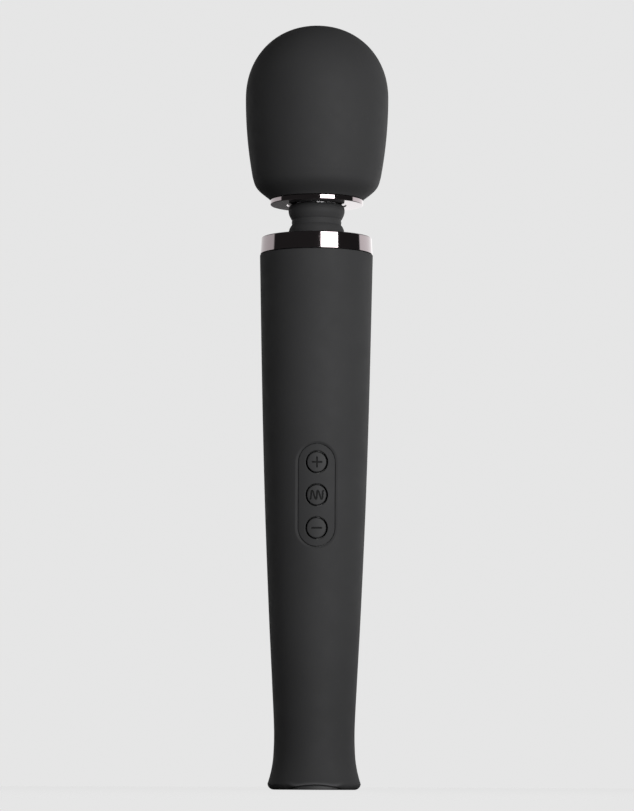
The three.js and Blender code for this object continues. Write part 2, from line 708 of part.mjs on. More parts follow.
// neck
place(handle, "neck_fitting_lower", lowerFitting(), aluminium);
place(handle, "neck_sleeve", neckSleeve(), silicone);
place(handle, "neck_spring", neckSpring(), steel, [0, 0, NECK_PIVOT]);
place(handle, "neck_mid_ring", pipe(3.5, 6.3, -0.5, 0.5), aluminium, [0, 0, NECK_PIVOT]);
for (const [name, side, x, colour] of [["red", 1, 5.8, redWire], ["black", -1, 3.0, blackWire]]) {
  place(handle, `motor_lead_${name}`, wire([
    [x, -7.4, 162.4], [x, -6.8, 168], [side * 2.4, -2, 188], [side * 1.5, 0, 212],
    [side * 1.5, 0, 235], [side * 1.5, 0, 250], [side * 1.9, 0, 256.5], [side * 4.4, 0, 263.6],
  ], LEAD_RADIUS, 24), colour);
}

// head
place(head, "head_cover", headCover(), silicone);
place(head, "head_shell_front", headShell(-1), blackPlastic);
place(head, "head_shell_rear", headShell(1), blackPlastic);
place(head, "trim_disc", trimDisc(), darkChrome);
place(head, "neck_fitting_upper", upperFitting(), aluminium);
HEAD_SCREWS.forEach(([x, z], i) => {
  place(head, `head_screw_${i + 1}`, facingFront(screw()), zincSteel, [x, SCREW_HEAD_Y, z]);
});

place(head, "motor_mount", pipe(MOTOR_RADIUS + GAP, MOUNT_RADIUS, 273, 299), dampingRubber);
place(head, "motor_can", motorCan(), zincSteel);
place(head, "motor_end_cap", motorEndCap(), greyPlastic);
for (const [name, side] of [["right", 1], ["left", -1]]) {
  place(head, `motor_terminal_${name}`,
    box([-1, -0.3, 0], [1, 0.3, 3.1]), brass, [side * 4.4, 0, 264.0]);
  place(head, `motor_magnet_${name}`, magnet(), ferrite).rotation.z = side > 0 ? 0 : Math.PI;
}

place(rotor, "motor_shaft", rod(SHAFT_RADIUS, 268.4, 317, SMALL_SIDES), steel);
place(rotor, "motor_armature", armature(), zincSteel);
place(rotor, "eccentric_weight", eccentricWeight(), steel);

export default wand;
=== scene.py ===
"""Handheld wand massager: the visible surfaces and their materials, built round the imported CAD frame.

Sizes are in millimetres until a mesh is made, and +Z is up. The controls face -Y.
"""
import json
import math

import bpy
from mathutils import Matrix, Vector


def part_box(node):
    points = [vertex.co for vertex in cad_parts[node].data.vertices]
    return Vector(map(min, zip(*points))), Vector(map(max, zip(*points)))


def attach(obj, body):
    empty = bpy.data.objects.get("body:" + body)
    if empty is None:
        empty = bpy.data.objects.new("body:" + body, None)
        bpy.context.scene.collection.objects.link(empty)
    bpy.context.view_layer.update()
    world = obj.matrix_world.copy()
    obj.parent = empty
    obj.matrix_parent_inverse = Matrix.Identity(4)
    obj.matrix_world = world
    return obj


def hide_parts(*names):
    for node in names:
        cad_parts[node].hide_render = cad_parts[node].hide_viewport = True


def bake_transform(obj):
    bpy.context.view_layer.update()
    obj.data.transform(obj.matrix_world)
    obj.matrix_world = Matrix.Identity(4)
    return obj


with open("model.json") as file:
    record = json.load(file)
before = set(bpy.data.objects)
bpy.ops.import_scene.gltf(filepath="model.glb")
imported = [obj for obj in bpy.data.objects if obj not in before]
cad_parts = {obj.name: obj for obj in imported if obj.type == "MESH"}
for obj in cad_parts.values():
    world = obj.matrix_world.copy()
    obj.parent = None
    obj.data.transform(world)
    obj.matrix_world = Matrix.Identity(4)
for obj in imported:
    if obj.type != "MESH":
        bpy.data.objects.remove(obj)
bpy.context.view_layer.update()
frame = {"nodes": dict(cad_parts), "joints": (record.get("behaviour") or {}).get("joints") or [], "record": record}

MM = 0.001


def node_box(node):
    """Lowest and highest corner of a CAD node, in millimetres."""
    low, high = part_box(node)
    return low / MM, high / MM


# ---------------------------------------------------------------- camera

CAMERA_DISTANCE = 1700
CAMERA_HEIGHT = 4
CAMERA_TURN = math.radians(-1.5)
CAMERA_PITCH = math.radians(5.485)
CAMERA_ROLL = math.radians(0.25)
CAMERA_ASIDE = 0.55
CAMERA_LENS = 173.37


def make_camera():
    data = bpy.data.cameras.new("camera")
    data.lens = CAMERA_LENS
    data.clip_start, data.clip_end = 0.05, 30
    camera = bpy.data.objects.new("camera", data)
    bpy.context.scene.collection.objects.link(camera)
    place = Vector((CAMERA_ASIDE, -CAMERA_DISTANCE, CAMERA_HEIGHT)) * MM
    camera.matrix_world = (
        Matrix.Rotation(CAMERA_TURN, 4, "Z")
        @ Matrix.Translation(place)
        @ Matrix.Rotation(math.pi / 2 + CAMERA_PITCH, 4, "X")
        @ Matrix.Rotation(CAMERA_ROLL, 4, "Z")
    )
    bpy.context.scene.camera = camera


make_camera()

# ---------------------------------------------------------------- mesh helpers


def make_piece(name, vertices, faces, material):
    """A smooth mesh object from vertices in millimetres."""
    mesh = bpy.data.meshes.new(name)
    mesh.from_pydata([[c * MM for c in v] for v in vertices], [], faces)
    mesh.validate()
    mesh.materials.append(material)
    for polygon in mesh.polygons:
        polygon.use_smooth = True
    piece = bpy.data.objects.new(name, mesh)
    bpy.context.scene.collection.objects.link(piece)
    return piece


def sharpen(piece, degrees=40):
    """Keeps edges crisp where two faces turn by more than this."""
    piece.data.set_sharp_from_angle(angle=math.radians(degrees))


def weighted_normals(piece):
    modifier = piece.modifiers.new("weighted_normals", "WEIGHTED_NORMAL")
    modifier.weight = 60
    modifier.keep_sharp = True


def thicken(piece, wall):
    """Gives an open sheet a wall on its inner side."""
    modifier = piece.modifiers.new("wall", "SOLIDIFY")
    modifier.thickness = wall * MM
    modifier.offset = -1
    modifier.use_rim = True


def smoothstep(low, high, value):
    t = min(max((value - low) / (high - low), 0), 1)
    return t * t * (3 - 2 * t)


def mix(a, b, t):
    return a + (b - a) * t


def filleted(outline, closed, steps=6):
    """Rounds the corners of (radius, height, fillet) points and returns (radius, height) pairs."""
    points = []
    count = len(outline)
    for i, (r, z, fillet) in enumerate(outline):
        corner = Vector((r, z))
        if fillet == 0 or (not closed and i in (0, count - 1)):
            points.append((r, z))
            continue
        before = Vector(outline[i - 1][:2]) - corner
        after = Vector(outline[(i + 1) % count][:2]) - corner
        half = before.angle(after) / 2
        reach = fillet / math.tan(half)
        start = corner + before.normalized() * reach
        end = corner + after.normalized() * reach
        inwards = (before.normalized() + after.normalized()).normalized()
        centre = corner + inwards * fillet / math.sin(half)
        a0 = math.atan2(start.y - centre.y, start.x - centre.x)
        a1 = math.atan2(end.y - centre.y, end.x - centre.x)
        sweep = (a1 - a0 + math.pi) % (2 * math.pi) - math.pi
        for k in range(steps + 1):
            a = a0 + sweep * k / steps
            points.append((centre.x + fillet * math.cos(a), centre.y + fillet * math.sin(a)))
    return points


def spin(name, outline, material, closed=True, sides=160):
    """Turns (radius, height) pairs, which run up the outside, round the Z axis."""
    vertices, rings = [], []
    for r, z in outline:
        if r < 1e-6:
            rings.append([len(vertices)] * sides)
            vertices.append((0, 0, z))
            continue
        rings.append(list(range(len(vertices), len(vertices) + sides)))
        for i in range(sides):
            a = 2 * math.pi * i / sides
            vertices.append((r * math.sin(a), -r * math.cos(a), z))
    pairs = list(zip(rings, rings[1:])) + ([(rings[-1], rings[0])] if closed else [])
    faces = []
    for low, high in pairs:
        for i in range(sides):
            j = (i + 1) % sides
            corners = [low[i], low[j], high[j], high[i]]
            face = [c for k, c in enumerate(corners) if c != corners[k - 1]]
            if len(face) > 2:
                faces.append(face)
    return make_piece(name, vertices, faces, material)


def curve_through(points, steps):
    """Catmull-Rom curve through points of any dimension, with steps samples for each span."""
    path = [Vector(p) for p in points]
    ends = [path[0] * 2 - path[1]] + path + [path[-1] * 2 - path[-2]]
    samples = []
    for a, b, c, d in zip(ends, ends[1:], ends[2:], ends[3:]):
        for k in range(steps):
            t = k / steps
            square = (a * 2 - b * 5 + c * 4 - d) * t ** 2
            cube = (b * 3 - a - c * 3 + d) * t ** 3
            samples.append((b * 2 + (c - a) * t + square + cube) / 2)
    samples.append(path[-1])
    return samples


def tube(name, path, radius, material, sides=16):
    """A round closed tube along a list of points."""
    vertices, faces = [], []
    side_way = Vector((1, 0, 0))
    for i, point in enumerate(path):
        way = (path[min(i + 1, len(path) - 1)] - path[max(i - 1, 0)]).normalized()
        side_way = (side_way - way * side_way.dot(way)).normalized()
        other = way.cross(side_way)
        for k in range(sides):
            a = 2 * math.pi * k / sides
            vertices.append(point + (side_way * math.cos(a) + other * math.sin(a)) * radius)
    for i in range(len(path) - 1):
        for k in range(sides):
            j = (k + 1) % sides
            faces.append([i * sides + k, i * sides + j, (i + 1) * sides + j, (i + 1) * sides + k])
    last = (len(path) - 1) * sides
    faces.append(list(range(sides))[::-1])
    faces.append(list(range(last, last + sides)))
    return make_piece(name, vertices, faces, material)


# ---------------------------------------------------------------- material helpers


RANGE_SOCKETS = ("From Min", "From Max", "To Min", "To Max")


class Shader:
    """Builds one procedural material round a Principled shader."""

    def __init__(self, name, color, roughness, metallic=0.0):
        self.material = bpy.data.materials.new(name)
        self.material.use_nodes = True
        self.tree = self.material.node_tree
        self.shader = self.tree.nodes["Principled BSDF"]
        self.set("Base Color", (*color, 1))
        self.set("Roughness", roughness)
        self.set("Metallic", metallic)
        self.place = self.add("ShaderNodeTexCoord").outputs["Object"]

    def add(self, kind, **settings):
        node = self.tree.nodes.new(kind)
        for key, value in settings.items():
            setattr(node, key, value)
        return node

    def link(self, source, target):
        self.tree.links.new(source, target)

    def set(self, socket, value):
        self.shader.inputs[socket].default_value = value

    def noise(self, scale, detail=2.0, stretch=(1, 1, 1)):
        """Noise with about scale cycles in a metre."""
        mapping = self.add("ShaderNodeMapping")
        mapping.inputs["Scale"].default_value = stretch
        self.link(self.place, mapping.inputs["Vector"])
        node = self.add("ShaderNodeTexNoise")
        node.inputs["Scale"].default_value = scale
        node.inputs["Detail"].default_value = detail
        self.link(mapping.outputs["Vector"], node.inputs["Vector"])
        return node.outputs["Fac"]

    def ranged(self, value, low, high, new_low, new_high):
        node = self.add("ShaderNodeMapRange")
        for socket, number in zip(RANGE_SOCKETS, (low, high, new_low, new_high)):
            node.inputs[socket].default_value = number
        self.link(value, node.inputs["Value"])
        return node.outputs["Result"]

    def maths(self, operation, first, second):
        node = self.add("ShaderNodeMath", operation=operation)
        for socket, value in zip(node.inputs, (first, second)):
            if isinstance(value, (int, float)):
                socket.default_value = value
            else:
                self.link(value, socket)
        return node.outputs[0]

    def colours(self, factor, first, second):
        """A colour that runs from first, a colour or an output, to second with the factor."""
        node = self.add("ShaderNodeMix", data_type="RGBA")
        if isinstance(first, bpy.types.NodeSocket):
            self.link(first, node.inputs["A"])
        else:
            node.inputs["A"].default_value = (*first, 1)
        node.inputs["B"].default_value = (*second, 1)
        self.link(factor, node.inputs["Factor"])
        return node.outputs["Result"]

    def mottled(self, cloud, color, dark, light):
        """The colour, between darker and lighter shares of it with the noise."""
        share = self.ranged(cloud, 0.3, 0.7, 0, 1)
        return self.colours(share, [c * dark for c in color], [min(c * light, 1) for c in color])

    def to_color(self, output):
        self.link(output, self.shader.inputs["Base Color"])

    def to_roughness(self, output):
        self.link(output, self.shader.inputs["Roughness"])

    def bump(self, height, distance):
        """Relief with distance in millimetres."""
        node = self.add("ShaderNodeBump")
        node.inputs["Distance"].default_value = distance * MM
        self.link(height, node.inputs["Height"])
        self.link(node.outputs["Normal"], self.shader.inputs["Normal"])


def worn_edges(shader, radius):
    """A mask that is high on edges, from how far a bevelled normal turns away."""
    bevel = shader.add("ShaderNodeBevel", samples=4)
    bevel.inputs["Radius"].default_value = radius * MM
    geometry = shader.add("ShaderNodeNewGeometry")
    dot = shader.add("ShaderNodeVectorMath", operation="DOT_PRODUCT")
    shader.link(bevel.outputs["Normal"], dot.inputs[0])
    shader.link(geometry.outputs["Normal"], dot.inputs[1])
    return shader.ranged(dot.outputs["Value"], 0.98, 0.8, 0, 1)


# ---------------------------------------------------------------- materials


SILICONE_GLOSS = 0.2
# painted highlight: how much lighter the ridge over the front arch is painted, in place of light it catches from
# above
PAINTED_HIGHLIGHT_LIFT = 2.2
DUST_COLOR = (0.11, 0.11, 0.115)
DUST_SHARE = 0.35


def silicone(name, color, roughness, grain):
    """Soft-touch silicone: fine grain, faint cloudiness, a few specks of dust, and a painted highlight that makes
    the ridge over the front arch lighter wherever the mesh's attribute asks for it.
    """
    s = Shader(name, color, roughness)
    s.set("Specular IOR Level", SILICONE_GLOSS)
    cloud = s.noise(28, 4)
    patches = s.noise(130, 3)
    speck = s.ranged(s.noise(2300, 1), 0.745, 0.80, 0, 1)
    # painted highlight: the mesh attribute marks the ridge over the front arch, which is given a lighter colour in
    # place of the light it would catch
    ridge = s.add("ShaderNodeAttribute", attribute_name="painted_ridge_highlight").outputs["Fac"]
    painted_ridge_highlight = s.colours(ridge, s.mottled(cloud, color, 0.93, 1.08), [c * PAINTED_HIGHLIGHT_LIFT for c in color])
    s.to_color(s.colours(s.maths("MULTIPLY", speck, DUST_SHARE), painted_ridge_highlight, DUST_COLOR))
    base = s.ranged(patches, 0.3, 0.7, roughness - 0.035, roughness + 0.035)
    s.to_roughness(s.maths("ADD", base, s.maths("MULTIPLY", cloud, 0.04)))
    fine = s.noise(4200, 2)
    coarse = s.noise(1100, 2)
    s.bump(s.maths("ADD", fine, s.maths("MULTIPLY", coarse, 0.8)), grain)
    return s.material


def dark_chrome():
    """Gunmetal plating with a rose tint, faint polishing haze and hairline scratches."""
    color = (0.33, 0.285, 0.295)
    s = Shader("dark_chrome", color, 0.05, 1.0)
    haze = s.noise(45, 4)
    hair = s.noise(900, 2, (1, 1, 9))
    s.to_color(s.mottled(haze, color, 0.95, 1.06))
    scratches = s.ranged(hair, 0.62, 0.75, 0, 0.07)
    s.to_roughness(s.maths("ADD", s.ranged(haze, 0.3, 0.75, 0.035, 0.085), scratches))
    s.bump(hair, 0.0015)
    return s.material


def moulded(name, color, roughness, grain=0.02, scale=1800, coat=0.0):
    """Moulded plastic with spark-eroded grain and edges rubbed slightly lighter."""
    s = Shader(name, color, roughness)
    s.set("Coat Weight", coat)
    cloud = s.noise(60, 3)
    worn = s.maths("MULTIPLY", worn_edges(s, 0.3), 0.25)
    rubbed_color = [min(c * 1.6 + 0.02, 1) for c in color]
    s.to_color(s.colours(worn, s.mottled(cloud, color, 0.9, 1.1), rubbed_color))
    s.to_roughness(s.ranged(cloud, 0.3, 0.7, roughness - 0.06, roughness + 0.06))
    s.bump(s.noise(scale, 3), grain)
    return s.material


def metal(name, color, roughness, stretch):
    """Turned or drawn metal with fine lines across the stretch."""
    s = Shader(name, color, roughness, 1.0)
    lines = s.noise(1600, 3, stretch)
    cloud = s.noise(80, 3)
    s.to_color(s.mottled(cloud, color, 0.88, 1.08))
    s.to_roughness(s.ranged(lines, 0.3, 0.7, roughness - 0.08, roughness + 0.1))
    s.bump(lines, 0.006)
    return s.material


def laminate():
    """Circuit board lacquer with a faint glass weave and copper tracks showing through."""
    color = (0.012, 0.09, 0.045)
    s = Shader("board_laminate", color, 0.38)
    weave = s.add("ShaderNodeTexChecker")
    weave.inputs["Scale"].default_value = 1400
    s.link(s.place, weave.inputs["Vector"])
    tracks = s.add("ShaderNodeTexWave", bands_direction="X")
    tracks.inputs["Scale"].default_value = 260
    tracks.inputs["Distortion"].default_value = 1.5
    s.link(s.place, tracks.inputs["Vector"])
    s.to_color(s.colours(s.ranged(tracks.outputs["Fac"], 0.55, 0.6, 0, 1), color, (0.03, 0.16, 0.08)))
    s.to_roughness(s.ranged(s.noise(90), 0.3, 0.7, 0.3, 0.45))
    s.bump(weave.outputs["Fac"], 0.01)
    return s.material


SILICONE_COLOR = (0.037, 0.037, 0.038)
body_silicone = silicone("body_silicone", SILICONE_COLOR, 0.7, 0.006)
key_silicone = silicone("key_silicone", [c * 1.02 for c in SILICONE_COLOR], 0.56, 0.005)
key_symbol = silicone("key_symbol", (0.007, 0.007, 0.007), 0.75, 0.004)
chrome = dark_chrome()
cap_plastic = moulded("cap_plastic", (0.03, 0.03, 0.031), 0.6, 0.012)
jack_plastic = moulded("jack_plastic", (0.012, 0.012, 0.013), 0.3, 0.006)
red_insulation = moulded("red_insulation", (0.38, 0.018, 0.014), 0.4, 0.004, 900)
black_insulation = moulded("black_insulation", (0.012, 0.012, 0.012), 0.4, 0.004, 900)
spring_steel = metal("spring_steel", (0.5, 0.5, 0.52), 0.3, (1, 1, 6))

slot_materials = {
    "silicone": body_silicone,
    "key_rubber": key_silicone,
    "dark_chrome": chrome,
    "black_plastic": moulded("black_plastic", (0.015, 0.015, 0.016), 0.45),
    "grey_plastic": moulded("grey_plastic", (0.09, 0.092, 0.1), 0.5),
    "steel": metal("plain_steel", (0.56, 0.57, 0.58), 0.28, (1, 1, 8)),
    "zinc_steel": metal("zinc_steel", (0.48, 0.49, 0.52), 0.34, (6, 6, 1)),
    "aluminium": metal("turned_aluminium", (0.68, 0.69, 0.7), 0.32, (1, 1, 10)),
    "brass": metal("brass", (0.72, 0.5, 0.2), 0.26, (8, 8, 1)),
    "ferrite": moulded("ferrite", (0.035, 0.035, 0.038), 0.6, 0.04, 2600),
    "board": laminate(),
    "cell_wrap": moulded("cell_wrap", (0.03, 0.17, 0.33), 0.25, 0.004, 500, 0.3),
    "damping_rubber": moulded("damping_rubber", (0.01, 0.01, 0.01), 0.7, 0.03, 1500),
    "red_wire": red_insulation,
    "black_wire": black_insulation,
}

# ---------------------------------------------------------------- handle outline

FOOT_FILLET_HEIGHT = 2.6
FOOT_FLAT_RADIUS = 17.4
FOOT_LIP_RADIUS = 15.5
ARCH_HALF_WIDTH = 13.2
ARCH_HEIGHT = 2.2
ARCH_RADIUS = (ARCH_HALF_WIDTH ** 2 + ARCH_HEIGHT ** 2) / (2 * ARCH_HEIGHT)
ARCH_EDGE_ROUND = 0.22


def handle_stations():
    """(height, radius) of the CAD skin's outer rings, read on its plain rear half."""
    rings = {}
    for vertex in frame["nodes"]["handle_skin"].data.vertices:
        x, y, z = vertex.co / MM
        if y > 1:
            level = round(z, 2)
            rings[level] = max(rings.get(level, 0), math.hypot(x, y))
    return sorted((z, r) for z, r in rings.items() if z > FOOT_FILLET_HEIGHT - 0.05)


STATIONS = handle_stations()
HANDLE_TOP = STATIONS[-1][0]


def handle_radius(z):
    """Outer radius of the handle's skin at a height: a smooth curve through the stations."""
    if z <= STATIONS[0][0]:
        return STATIONS[0][1]
    if z >= STATIONS[-1][0]:
        return STATIONS[-1][1]
    i = max(k for k, (level, _) in enumerate(STATIONS[:-1]) if level <= z)

    def slope(k):
        below, above = STATIONS[max(k - 1, 0)], STATIONS[min(k + 1, len(STATIONS) - 1)]
        return (above[1] - below[1]) / (above[0] - below[0])

    (z0, r0), (z1, r1) = STATIONS[i], STATIONS[i + 1]
    t = (z - z0) / (z1 - z0)
    rise = t * t * (3 - 2 * t)
    bend = slope(i) * t * (1 - t) ** 2 - slope(i + 1) * t * t * (1 - t)
    return mix(r0, r1, rise) + (z1 - z0) * bend


def on_handle(x, z, depth):
    """The point in front at x and z, at a depth under the skin's surface."""
    radius = handle_radius(z)
    share = (radius - depth) / radius
    return (x * share, -math.sqrt(radius ** 2 - x ** 2) * share, z)


def arch_lift(x):
    """Height of the front arch over the base at x."""
    x = min(abs(x), ARCH_HALF_WIDTH + 1)
    return max(0, math.sqrt(ARCH_RADIUS ** 2 - x ** 2) - ARCH_RADIUS + ARCH_HEIGHT)


def join_rings(rings, faces):
    """Adds the faces between rings of vertices, which run anticlockwise with the first in the middle."""
    count = len(rings[0])
    for inner, outer in zip(rings, rings[1:]):
        for i in range(count):
            j = (i + 1) % count
            faces.append([outer[i], outer[j], inner[j], inner[i]])


# ---------------------------------------------------------------- control panel outline

PANEL_CENTRE = sum(c.z for c in node_box("pattern_key")) / 2
KEY_PITCH = sum(c.z for c in node_box("plus_key")) / 2 - PANEL_CENTRE
PAD_LOW, PAD_HIGH = node_box("control_pad")
PAD_HALF_WIDTH = PAD_HIGH.x
PAD_STRAIGHT = (PAD_HIGH.z - PAD_LOW.z) / 2 - PAD_HALF_WIDTH
WINDOW_HALF_WIDTH = PAD_HALF_WIDTH + 0.17
BEVEL_WIDTH = 0.9
BEVEL_DEPTH = 0.5
BEVEL_SOFTNESS = 0.05
PAD_DEPTH = 0.4
KEY_RADIUS = 4.35
KEY_HOLE_RADIUS = 4.95


def stadium_point(x, z, half_width):
    """The nearest point of the panel's stadium outline to (x, z), and the way outwards there."""
    middle = PANEL_CENTRE + min(max(z - PANEL_CENTRE, -PAD_STRAIGHT), PAD_STRAIGHT)
    away = Vector((x, z - middle)).normalized()
    return Vector((0, middle)) + away * half_width, away


# ---------------------------------------------------------------- handle skin

COLUMNS = 288
PATCH_COLUMNS = 30
PATCH_HALF_LENGTH = 31
PATCH_ROWS = 48
LOWER_ROWS = 40
UPPER_ROWS = 34
FOOT_BLEND_TOP = 9.0
FOOT_SIDE_RADIUS = STATIONS[0][1]
ARCH_RIDGE = 0.35
ARCH_RIDGE_HEIGHT = 1.4
# painted highlight: how far from the arch's edge the lighter paint on the ridge reaches
PAINTED_HIGHLIGHT_REACH = 0.75
TOP_FILLET = 0.35
TOP_LEDGE = 1.1
TOP_ROWS = 6
SKIN_SHEET = 0.8
WINDOW_WALL_DEPTH = 1.0
WINDOW_LIP = 0.06
# rings round the window: distances from its edge, then shares of the way from there to the border
WINDOW_NEAR = [0, 0.03, 0.12, 0.25, 0.4, 0.55, 0.7, 0.8, 0.9, 1.0, 1.15, 1.5, 2.2]
WINDOW_SHARES = [0.12, 0.3, 0.5, 0.75]


def arch_edge(lift):
    """How far into the arch a lift is, from 0 to 1, and its rounded edge's width and height there."""
    in_arch = smoothstep(0, 1.7, lift)
    height = mix(FOOT_FILLET_HEIGHT, ARCH_EDGE_ROUND, in_arch)
    width = mix(handle_radius(lift + height) - FOOT_FLAT_RADIUS, ARCH_EDGE_ROUND, in_arch)
    return in_arch, width, height


def lift_at(angle):
    """Height of the arch at an angle from the front, and 0 round the back."""
    return arch_lift(FOOT_SIDE_RADIUS * math.sin(angle)) if math.cos(angle) > 0 else 0


def skin_foot_rows(angle):
    """The outline of the skin's foot at an angle from the front, from its inner lip up to the side."""
    lift = lift_at(angle)
    in_arch, width, height = arch_edge(lift)
    side_radius = handle_radius(lift + height)
    lip = mix(FOOT_LIP_RADIUS, side_radius - 1.1, in_arch)
    edge = side_radius + ARCH_RIDGE * in_arch
    rows = [(lip, lift), (mix(lip, edge - width, 0.5), lift)]
    for k in range(9):
        a = math.pi / 2 * k / 8
        rows.append((edge - width + width * math.sin(a), lift + height * (1 - math.cos(a))))
    start = lift + height
    for k in range(1, 13):
        z = mix(start, FOOT_BLEND_TOP, (k / 13) ** 1.5)
        ridge = ARCH_RIDGE * in_arch * (1 - smoothstep(0, ARCH_RIDGE_HEIGHT, z - start))
        rows.append((handle_radius(z) + ridge, z))
    return rows


def painted_highlight_share(angle, z):
    """How strongly the ridge over the arch is painted lighter as a painted highlight, from 0 to 1."""
    lift = lift_at(angle)
    in_arch, _, height = arch_edge(lift)
    away = (z - lift - height) / PAINTED_HIGHLIGHT_REACH
    return in_arch * math.exp(-away * away)


def skin_side_levels():
    patch_low, patch_high = PANEL_CENTRE - PATCH_HALF_LENGTH, PANEL_CENTRE + PATCH_HALF_LENGTH
    levels = [mix(FOOT_BLEND_TOP, patch_low, k / LOWER_ROWS) for k in range(LOWER_ROWS)]
    levels += [mix(patch_low, patch_high, k / PATCH_ROWS) for k in range(PATCH_ROWS)]
    levels += [mix(patch_high, HANDLE_TOP - TOP_FILLET, k / UPPER_ROWS) for k in range(UPPER_ROWS)]
    return levels


def bevel_depth(distance):
    """Depth of the slope round the panel's window, by distance outwards from its edge."""
    slope = BEVEL_DEPTH * (1 - distance / BEVEL_WIDTH)
    return (slope + math.sqrt(slope ** 2 + BEVEL_SOFTNESS ** 2)) / 2 - 0.001


def skin_top_rows():
    """The outline of the skin's rounded top edge, from the side to its inner lip."""
    radius = handle_radius(HANDLE_TOP)
    rows = []
    for k in range(TOP_ROWS + 1):
        a = math.pi / 2 * k / TOP_ROWS
        drop_in, drop_down = TOP_FILLET * (1 - math.cos(a)), TOP_FILLET * (1 - math.sin(a))
        rows.append((radius - drop_in, HANDLE_TOP - drop_down))
    return rows + [(radius - TOP_LEDGE, HANDLE_TOP)]


def window_rings(border, vertices):
    """Adds the points between the panel's window and the border round it, in rings from the middle."""
    rings = [[] for _ in range(1 + len(WINDOW_NEAR) + len(WINDOW_SHARES))]
    for index in border:
        x, _, z = vertices[index]
        edge, away = stadium_point(x, z, WINDOW_HALF_WIDTH)
        reach = (Vector((x, z)) - edge).length
        distances = WINDOW_NEAR + [mix(WINDOW_NEAR[-1], reach, share) for share in WINDOW_SHARES]
        rings[0].append(len(vertices))
        vertices.append(on_handle(edge.x, edge.y, WINDOW_WALL_DEPTH))
        for ring, distance in zip(rings[1:], distances):
            point = edge + away * distance
            drop = bevel_depth(distance) + (WINDOW_LIP if distance == 0 else 0)
            ring.append(len(vertices))
            vertices.append(on_handle(point.x, point.y, drop))
    return rings + [border]


def make_handle_skin():
    """One skin: columns of points round the handle, with a patch in front let in round the panel."""
    vertices, faces, painted_ridge_highlight = [], [], []
    angles = [2 * math.pi * (i if i <= COLUMNS // 2 else i - COLUMNS) / COLUMNS for i in range(COLUMNS)]
    above_foot = [(handle_radius(z), z) for z in skin_side_levels()] + skin_top_rows()
    outlines = [skin_foot_rows(a) + above_foot for a in angles]
    foot_count = len(outlines[0]) - len(above_foot)
    rows = []
    for k in range(len(outlines[0])):
        rows.append([])
        for angle, outline in zip(angles, outlines):
            r, z = outline[k]
            rows[-1].append(len(vertices))
            vertices.append((r * math.sin(angle), -r * math.cos(angle), z))
            # strength of the painted highlight on the ridge over the arch, kept for each point
            painted_ridge_highlight.append(painted_highlight_share(angle, z) if k < foot_count else 0)

    patch_row = foot_count + LOWER_ROWS
    half = PATCH_COLUMNS
    for k in range(len(rows) - 1):
        for i in range(COLUMNS):
            j = (i + 1) % COLUMNS
            column = i if i < COLUMNS // 2 else i - COLUMNS
            if patch_row <= k < patch_row + PATCH_ROWS and -half <= column < half:
                continue
            faces.append([rows[k][i], rows[k][j], rows[k + 1][j], rows[k + 1][i]])

    # the border of the patch, anticlockwise as seen from the front
    border = [rows[patch_row][c] for c in range(-half, half)]
    border += [rows[patch_row + k][half] for k in range(PATCH_ROWS)]
    border += [rows[patch_row + PATCH_ROWS][c] for c in range(half, -half, -1)]
    border += [rows[patch_row + k][-half] for k in range(PATCH_ROWS, 0, -1)]
    join_rings(window_rings(border, vertices), faces)

    skin = make_piece("handle_skin_sleeve", vertices, faces, body_silicone)
    # the painted highlight's strength at each point, read by the silicone material
    mask = skin.data.attributes.new("painted_ridge_highlight", "FLOAT", "POINT")
    mask.data.foreach_set("value", painted_ridge_highlight + [0] * (len(vertices) - len(painted_ridge_highlight)))
    thicken(skin, SKIN_SHEET)
    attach(skin, "handle")
    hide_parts("handle_skin")


make_handle_skin()

# ---------------------------------------------------------------- control pad and keys

EDGE_ROUND = 0.28
PAD_WALL_DEPTH = 1.0
PAD_SHEET = 0.3
CELL_STEPS = 24
# rings round a key's hole: distances from it and from the cell's outline, then shares of the way between
EDGE_NEAR = [0, 0.02, 0.07, 0.15, 0.28, 0.45]
RING_SHARES = (0.35, 0.65)
EDGE_SHARE = 0.3


def rounded_edge(distance, radius):
    """Drop of a rounded edge, by distance inwards from it."""
    if distance >= radius:
        return 0
    return radius - math.sqrt(radius ** 2 - (radius - distance) ** 2)


def pad_cell(low, high):
    """Outline points round one key's share of the pad, each with True if on the pad's own edge."""
    points = []
    half = PAD_HALF_WIDTH
    low_round = low < PANEL_CENTRE - PAD_STRAIGHT
    high_round = high > PANEL_CENTRE + PAD_STRAIGHT
    side_low = PANEL_CENTRE - PAD_STRAIGHT if low_round else low
    side_high = PANEL_CENTRE + PAD_STRAIGHT if high_round else high

    def side(x, start, end):
        for k in range(CELL_STEPS):
            points.append((x, mix(start, end, k / CELL_STEPS), True))

    def end(z, rounded, turn):
        """Across one end: half a turn where it is the pad's own end, or straight to the next cell."""
        steps = (4 if rounded else 2) * CELL_STEPS
        for k in range(steps):
            a = turn + math.pi * k / steps
            if rounded:
                points.append((half * math.cos(a), z + half * math.sin(a), True))
            else:
                start = half * math.cos(turn)
                points.append((mix(start, -start, k / steps), z, k == 0))

    end(side_low, low_round, math.pi)
    side(half, side_low, side_high)
    end(side_high, high_round, 0)
    side(-half, side_high, side_low)
    return points


